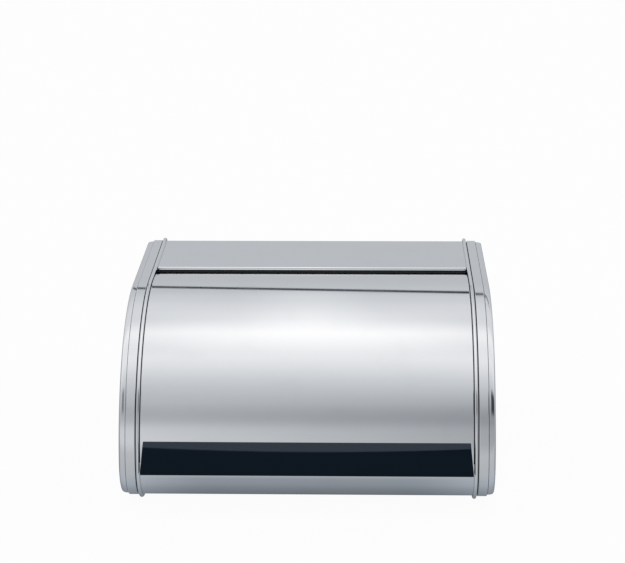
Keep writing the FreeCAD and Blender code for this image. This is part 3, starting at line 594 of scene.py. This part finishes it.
def handle_widths():
    """Places across the handle from end to end, as shares of its half width, closer in the end roundings."""
    rounded = HANDLE_ROUND * (1 - np.cos(np.linspace(0, math.pi / 2, 8)))
    inset = np.concatenate([rounded[:-1], np.linspace(HANDLE_ROUND, HANDLE_HALF_LOW, 40)])
    return np.concatenate([inset, (2 * HANDLE_HALF_LOW - inset)[::-1][1:]]) / HANDLE_HALF_LOW - 1.0


def handle_heights():
    """Heights up the handle's face in degrees, and how far each lies back in the rounded lower edge."""
    turn = np.linspace(0, math.pi / 2, 7)[:-1]
    edge = math.degrees(HANDLE_ROUND / HANDLE_FACE)
    above = np.linspace(HANDLE_LOW + edge, HANDLE_HIGH, 44)
    heights = np.concatenate([HANDLE_LOW + edge * (1 - np.cos(turn)), above])
    return heights, np.concatenate([HANDLE_ROUND * (1 - np.sin(turn)), np.zeros_like(above)])


def handle():
    """The full-width handle, as a grid of points in share of the width and height round the lid axis.

    The face lies at one radius from the lid axis. Above the crest a ledge falls back at a steady
    slope, eased at the crest: radius = face - slope * soft * ln(1 + e^((height - crest) / soft)).
    The ends slant outward downwards, and the front edges there are rounded by a quarter circle.
    """
    across = handle_widths()
    heights, low_drop = handle_heights()
    lean = (heights[None, :] - crest_height(across)[:, None]) / CREST_SOFT
    fall = LEDGE_SLOPE * CREST_SOFT * np.logaddexp(0.0, lean)
    from_end = np.minimum(1.0 - np.abs(across), HANDLE_ROUND / HANDLE_HALF_LOW) * HANDLE_HALF_LOW
    end_drop = HANDLE_ROUND - np.sqrt(np.maximum(HANDLE_ROUND ** 2 - (HANDLE_ROUND - from_end) ** 2, 0.0))
    rounding = np.minimum(np.hypot(end_drop[:, None], low_drop[None, :]), HANDLE_ROUND)
    back_heights = np.linspace(HANDLE_HIGH, HANDLE_LOW, 12)
    back = np.full((len(across), len(back_heights)), HANDLE_BACK)
    radius = np.hstack([HANDLE_FACE - fall - rounding, back])
    height = np.radians(np.concatenate([heights, back_heights]))[None, :]
    z = radius * np.sin(height)
    half_width = HANDLE_HALF_LOW + (HANDLE_HALF_HIGH - HANDLE_HALF_LOW) * z / HANDLE_SLANT_HEIGHT
    x = across[:, None] * half_width
    y = AXIS_Y - radius * np.cos(height)
    vertices = np.stack([x, y, AXIS_Z + z], axis=-1).reshape(-1, 3)
    rows, columns = radius.shape
    faces = wrap_faces(rows, columns, False, True) + first_and_last_rows(rows, columns)
    piece = make_piece("lid_handle_bar", vertices, faces, "lid", "black_gloss", ["lid_handle"], 35.0)
    mark_ledge(piece.data)


def mark_ledge(mesh):
    """The ledge attribute of the handle's finish, which sets its painted light grey and its extra roughness:
    nought on the face, one above the crest.
    """
    place = np.empty(len(mesh.vertices) * 3, np.float32)
    mesh.vertices.foreach_get("co", place)
    x, y, z = place.reshape(-1, 3).T
    height = np.degrees(np.arctan2(z - AXIS_Z, AXIS_Y - y))
    above = (height - crest_height(x / HANDLE_HALF_HIGH)) / LEDGE_BLEND + LEDGE_SHIFT
    ledge = mesh.attributes.new("ledge", "FLOAT", "POINT")
    ledge.data.foreach_set("value", np.clip(above, 0.0, 1.0).astype(np.float32))


for side_name, side_sign in SIDES.items():
    end_cap(side_name, side_sign)
    bead_rim(side_name, side_sign)
lid()
deck()
tray()
rail()
handle()


# ---------------------------------------------------------------- floor, light and camera

FLOOR_HALF = 12.0
FLOOR_GREY = (0.9, 0.9, 0.9, 1.0)
FLOOR_GLOW = 0.95
PAPER_WHITE = (1.0, 1.0, 1.0, 1.0)


def floor():
    """A plain pale floor, mostly glowing, that the polished steel doesn't mirror."""
    mesh = bpy.data.meshes.new("floor")
    corners = FLOOR_HALF * np.array([(-1, -1), (1, -1), (1, 1), (-1, 1)])
    mesh.from_pydata(np.column_stack([corners, np.zeros(4)]).tolist(), [], [[0, 1, 2, 3]])
    sheet = bpy.data.objects.new("floor", mesh)
    bpy.context.scene.collection.objects.link(sheet)
    material = bpy.data.materials.new("pale_floor")
    material.use_nodes = True
    tree = material.node_tree
    tree.nodes.clear()
    output = tree.nodes.new("ShaderNodeOutputMaterial")
    matt = add(tree, "ShaderNodeBsdfDiffuse", Color=FLOOR_GREY)
    glow = add(tree, "ShaderNodeEmission", Color=PAPER_WHITE)
    blend = add(tree, "ShaderNodeMixShader", Fac=FLOOR_GLOW)
    tree.links.new(matt.outputs[0], blend.inputs[1])
    tree.links.new(glow.outputs[0], blend.inputs[2])
    tree.links.new(blend.outputs[0], output.inputs["Surface"])
    mesh.materials.append(material)
    sheet.visible_glossy = False


# How bright the studio is in each direction of the box's side view. 0 is the front horizon, 90 straight
# up and 180 or -180 the back horizon: a broad soft box overhead, plain walls, a dimmer floor.
STUDIO = [
    (-180, 0.50), (-165, 0.24), (-150, 0.24), (-137, 0.27), (-119, 0.32), (-104, 0.36), (-90, 0.41),
    (-78, 0.47), (-66, 0.51), (-50, 0.54), (-21, 0.56), (-6, 0.575), (6, 0.60), (15, 0.60), (21, 0.56),
    (26, 0.465), (32, 0.46), (38, 0.535), (45, 0.615), (52, 0.70), (58, 0.78), (64, 0.88), (71, 0.975),
    (80, 1.07), (92, 1.22), (99, 1.21), (107, 1.11), (116, 1.00), (127, 0.88), (137, 0.80), (148, 0.66),
    (180, 0.56),
]
BRIGHTEST = 1.3

# A band is a smooth step up and a smooth step down: where it starts and ends rising, then where it starts
# and ends falling. Those of height are radians round the side view, and those of x parts of a direction.
LOW_FRONT = (0.0, 0.2, 0.3, 0.95)
OVERHEAD = (1.2, 1.5, 1.8, 2.2)
SHOULDER = (1.62, 1.88, 2.45, 2.6)
CARD_HEIGHTS = (0.50, 0.62, 0.80, 0.92)
RIGHT_CARD, RIGHT_CARD_DARK = (0.13, 0.22, 0.70, 0.85), 0.88
LEFT_CARD, LEFT_CARD_DARK = (-0.55, -0.42, -0.24, -0.16), 0.55

# changes from left to right, as shares of the brightness
LEFT_RIGHT_MIDDLE = 0.03
LEAN, LEAN_LEFT, LEAN_RIGHT = -2.3, -0.10, 0.12
FADE, FADE_LIMIT = -18.0, -0.14

# the dark joint's plane is z = JOINT_BACK * y + JOINT_CLIMB * x
JOINT_BACK, JOINT_CLIMB, JOINT_DARK = 0.735, 0.98, 0.92

# how far the light leans to blue: in the dark, on the floor besides, and for each unit of brightness
COOL_DARK, COOL_FLOOR, COOL_BRIGHT = 0.175, 0.06, -0.14
COOL_LIFT = 0.5
COOL_SHARES = {"Red": -1.0, "Green": -0.55, "Blue": 0.0}


def band(tree, value, edges):
    """One inside a band of the value and nought outside it, with smooth edges."""
    rise_start, rise_end, fall_start, fall_end = edges
    rising = remap(tree, value, rise_start, rise_end, 0.0, 1.0)
    falling = remap(tree, value, fall_start, fall_end, 1.0, 0.0)
    return math_node(tree, "MULTIPLY", rising, falling)


def side_view_level(tree, angle):
    """The brightness at an angle of the side view, along a smooth curve through the STUDIO levels."""
    turn = remap(tree, angle, -math.pi, math.pi, 0.0, 1.0, smooth=False)
    ramp = tree.nodes.new("ShaderNodeValToRGB")
    ramp.color_ramp.interpolation = "CARDINAL"
    stops = ramp.color_ramp.elements
    for number, (degrees, level) in enumerate(STUDIO):
        place = (degrees + 180.0) / 360.0
        stop = stops[number] if number < 2 else stops.new(place)
        stop.position = place
        stop.color = (*[level / BRIGHTEST] * 3, 1.0)
    tree.links.new(turn, ramp.inputs["Fac"])
    return math_node(tree, "MULTIPLY", ramp.outputs["Color"], BRIGHTEST)


def left_right_change(tree, angle, x, below):
    """How the brightness changes from left to right, as a share of itself.

    Low in front the left is brighter. Overhead the soft box fades with the square of the distance from
    the middle, down to a limit, and just behind it narrows. The floor is dimmest in the middle.
    """
    off_centre = math_node(tree, "ADD", x, LEFT_RIGHT_MIDDLE)
    spread = math_node(tree, "ABSOLUTE", off_centre)
    held = math_node(tree, "MINIMUM", math_node(tree, "MAXIMUM", off_centre, LEAN_LEFT), LEAN_RIGHT)
    lean = math_node(tree, "MULTIPLY", held, LEAN)
    fade = math_node(tree, "MULTIPLY", math_node(tree, "POWER", spread, 2.0), FADE)
    fade = math_node(tree, "MAXIMUM", fade, FADE_LIMIT)
    narrowing = remap(tree, spread, 0.0, 0.045, 0.0, -0.11)
    dim = remap(tree, spread, 0.05, 0.105, -0.32, 0.02)
    change = 0.0
    for part, where in (
        (lean, band(tree, angle, LOW_FRONT)),
        (fade, band(tree, angle, OVERHEAD)),
        (narrowing, band(tree, angle, SHOULDER)),
        (dim, below),
    ):
        change = math_node(tree, "MULTIPLY_ADD", part, where, change)
    return change


def wall_joint(tree, x, y, z):
    """How dark the joint between the back wall and the ceiling is. It climbs a little to the right."""
    wall = math_node(tree, "MULTIPLY_ADD", y, -JOINT_BACK, z)
    wall = math_node(tree, "MULTIPLY_ADD", x, -JOINT_CLIMB, wall)
    away = math_node(tree, "ABSOLUTE", wall)
    behind = remap(tree, y, 0.5, 0.6, 0.0, 1.0)
    near_middle = remap(tree, math_node(tree, "ABSOLUTE", x), 0.25, 0.4, 1.0, 0.0)
    return math_node(tree, "MULTIPLY", remap(tree, away, 0.015, 0.062, JOINT_DARK, 0.0),
                     math_node(tree, "MULTIPLY", behind, near_middle))


def side_cards(tree, angle, x):
    """How dark the card low on each side is. The right one is wider and darker."""
    left = math_node(tree, "MULTIPLY", band(tree, x, LEFT_CARD), LEFT_CARD_DARK)
    both = math_node(tree, "MULTIPLY_ADD", band(tree, x, RIGHT_CARD), RIGHT_CARD_DARK, left)
    return math_node(tree, "MULTIPLY", both, band(tree, angle, CARD_HEIGHTS))


def grey_to_the_sides(tree, level, x, z):
    """The brightness running into a plain grey far to each side, lighter higher up."""
    mixed = tree.nodes.new("ShaderNodeMix")
    far_aside = remap(tree, math_node(tree, "ABSOLUTE", x), 0.72, 0.92, 0.0, 1.0)
    grey = remap(tree, z, -0.5, 0.8, 0.30, 0.62)
    for label, value in (("Factor", far_aside), ("A", level), ("B", grey)):
        tree.links.new(value, mixed.inputs[label])
    return mixed.outputs["Result"]


def cooled(tree, level, below):
    """A brightness as a colour: the dimmer a direction, the bluer it is, and the floor is bluer still."""
    cool = math_node(tree, "MULTIPLY_ADD", below, COOL_FLOOR, COOL_DARK)
    cool = math_node(tree, "MULTIPLY_ADD", level, COOL_BRIGHT, cool, clamp=True)
    lift = math_node(tree, "MULTIPLY", level, math_node(tree, "MULTIPLY_ADD", cool, COOL_LIFT, 1.0))
    colour = tree.nodes.new("ShaderNodeCombineColor")
    for label, share in COOL_SHARES.items():
        part = math_node(tree, "MULTIPLY", lift, math_node(tree, "MULTIPLY_ADD", cool, share, 1.0))
        tree.links.new(part, colour.inputs[label])
    return colour.outputs["Color"]


def studio_light():
    """Soft studio light all round for the steel to mirror, and plain white where the camera looks past it."""
    world = bpy.data.worlds.new("studio")
    bpy.context.scene.world = world
    world.use_nodes = True
    tree = world.node_tree
    tree.nodes.clear()
    direction = tree.nodes.new("ShaderNodeTexCoord")
    split = tree.nodes.new("ShaderNodeSeparateXYZ")
    tree.links.new(direction.outputs["Generated"], split.inputs["Vector"])
    x, y, z = (split.outputs[label] for label in "XYZ")
    angle = math_node(tree, "ARCTAN2", z, math_node(tree, "MULTIPLY", y, -1.0))
    below = remap(tree, angle, -1.0, -0.6, 1.0, 0.0)
    change = left_right_change(tree, angle, x, below)
    level = side_view_level(tree, angle)
    level = math_node(tree, "MULTIPLY", level, math_node(tree, "ADD", change, 1.0))
    for dark in (wall_joint(tree, x, y, z), side_cards(tree, angle, x)):
        level = math_node(tree, "MULTIPLY", level, math_node(tree, "SUBTRACT", 1.0, dark))
    level = grey_to_the_sides(tree, level, x, z)
    mirrored = tree.nodes.new("ShaderNodeBackground")
    tree.links.new(cooled(tree, level, below), mirrored.inputs["Color"])
    plain = add(tree, "ShaderNodeBackground", Color=PAPER_WHITE)
    seen = tree.nodes.new("ShaderNodeLightPath")
    choice = tree.nodes.new("ShaderNodeMixShader")
    tree.links.new(seen.outputs["Is Camera Ray"], choice.inputs["Fac"])
    tree.links.new(mirrored.outputs[0], choice.inputs[1])
    tree.links.new(plain.outputs[0], choice.inputs[2])
    output = tree.nodes.new("ShaderNodeOutputWorld")
    tree.links.new(choice.outputs[0], output.inputs["Surface"])


# degrees, and a place in metres
CAMERA_PITCH, CAMERA_ROLL, CAMERA_TURN = 18.24, -0.369, 1.703
CAMERA_PLACE = (52.08 * MM, AXIS_Y - 1683.71 * MM, AXIS_Z + 701.18 * MM)
CAMERA_LENS, SENSOR_WIDTH = 109.17, 36.0
NEAR_CLIP, FAR_CLIP = 0.05, 100.0


def camera():
    """A long lens a little right of the middle, looking down about eighteen degrees."""
    pitch, roll, turn = np.radians([CAMERA_PITCH, CAMERA_ROLL, CAMERA_TURN])
    right = np.array([math.cos(turn), math.sin(turn), 0.0])
    ahead = np.array([-math.sin(turn), math.cos(turn), 0.0])
    forward = ahead * math.cos(pitch) - np.array([0.0, 0.0, math.sin(pitch)])
    up = np.cross(right, forward)
    x_axis = right * math.cos(roll) + up * math.sin(roll)
    y_axis = up * math.cos(roll) - right * math.sin(roll)
    data = bpy.data.cameras.new("camera")
    data.sensor_width = SENSOR_WIDTH
    data.lens = CAMERA_LENS
    data.clip_start, data.clip_end = NEAR_CLIP, FAR_CLIP
    view = bpy.data.objects.new("camera", data)
    bpy.context.scene.collection.objects.link(view)
    matrix = np.eye(4)
    matrix[:3, 0], matrix[:3, 1], matrix[:3, 2] = x_axis, y_axis, -forward
    matrix[:3, 3] = CAMERA_PLACE
    view.matrix_world = Matrix(matrix.tolist())
    bpy.context.scene.camera = view


floor()
studio_light()
camera()
bpy.context.scene.view_settings.view_transform = "Standard"
